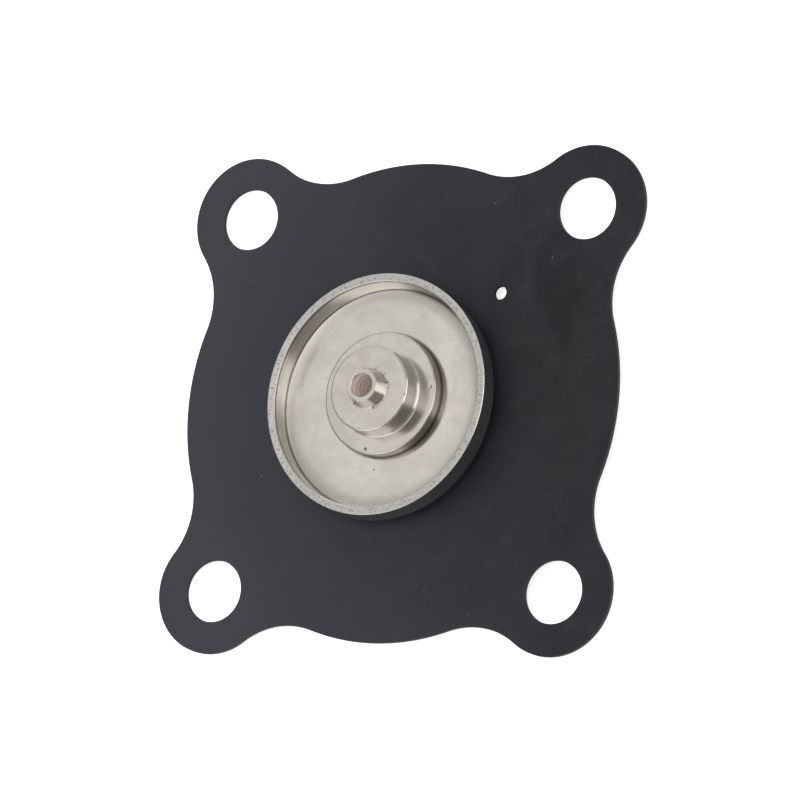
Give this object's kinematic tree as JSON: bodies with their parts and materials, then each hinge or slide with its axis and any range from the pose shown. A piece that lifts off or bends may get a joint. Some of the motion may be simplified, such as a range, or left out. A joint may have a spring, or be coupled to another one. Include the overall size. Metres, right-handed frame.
{
  "type": "solenoid valve diaphragm",
  "caption": "Square four-eared rubber diaphragm of a pilot operated solenoid valve, with a metal spring cup and a stepped hollow nozzle stud clamped through its centre.",
  "frame": {"origin": "centre of the sealing face, on the axis of the bolt holes, with the part lying on that face", "axes": "+Z along the nozzle, towards the spring side; X and Y along the sides of the square of bolt holes; the equalising hole is at +X +Y"},
  "size_m": [0.0746, 0.0746, 0.0149],
  "materials": {
    "rubber_sheet": "satin black rubber",
    "cup_nickel": "satin nickel plate on drawn steel",
    "stud_nickel": "bright nickel plate on turned steel",
    "washer_steel": "plain zinc-plated steel"
  },
  "bodies": {
    "root": {"diaphragm": "rubber_sheet", "spring_cup": "cup_nickel", "nozzle_stud": "stud_nickel", "backing_washer": "washer_steel"}
  },
  "joints": []
}
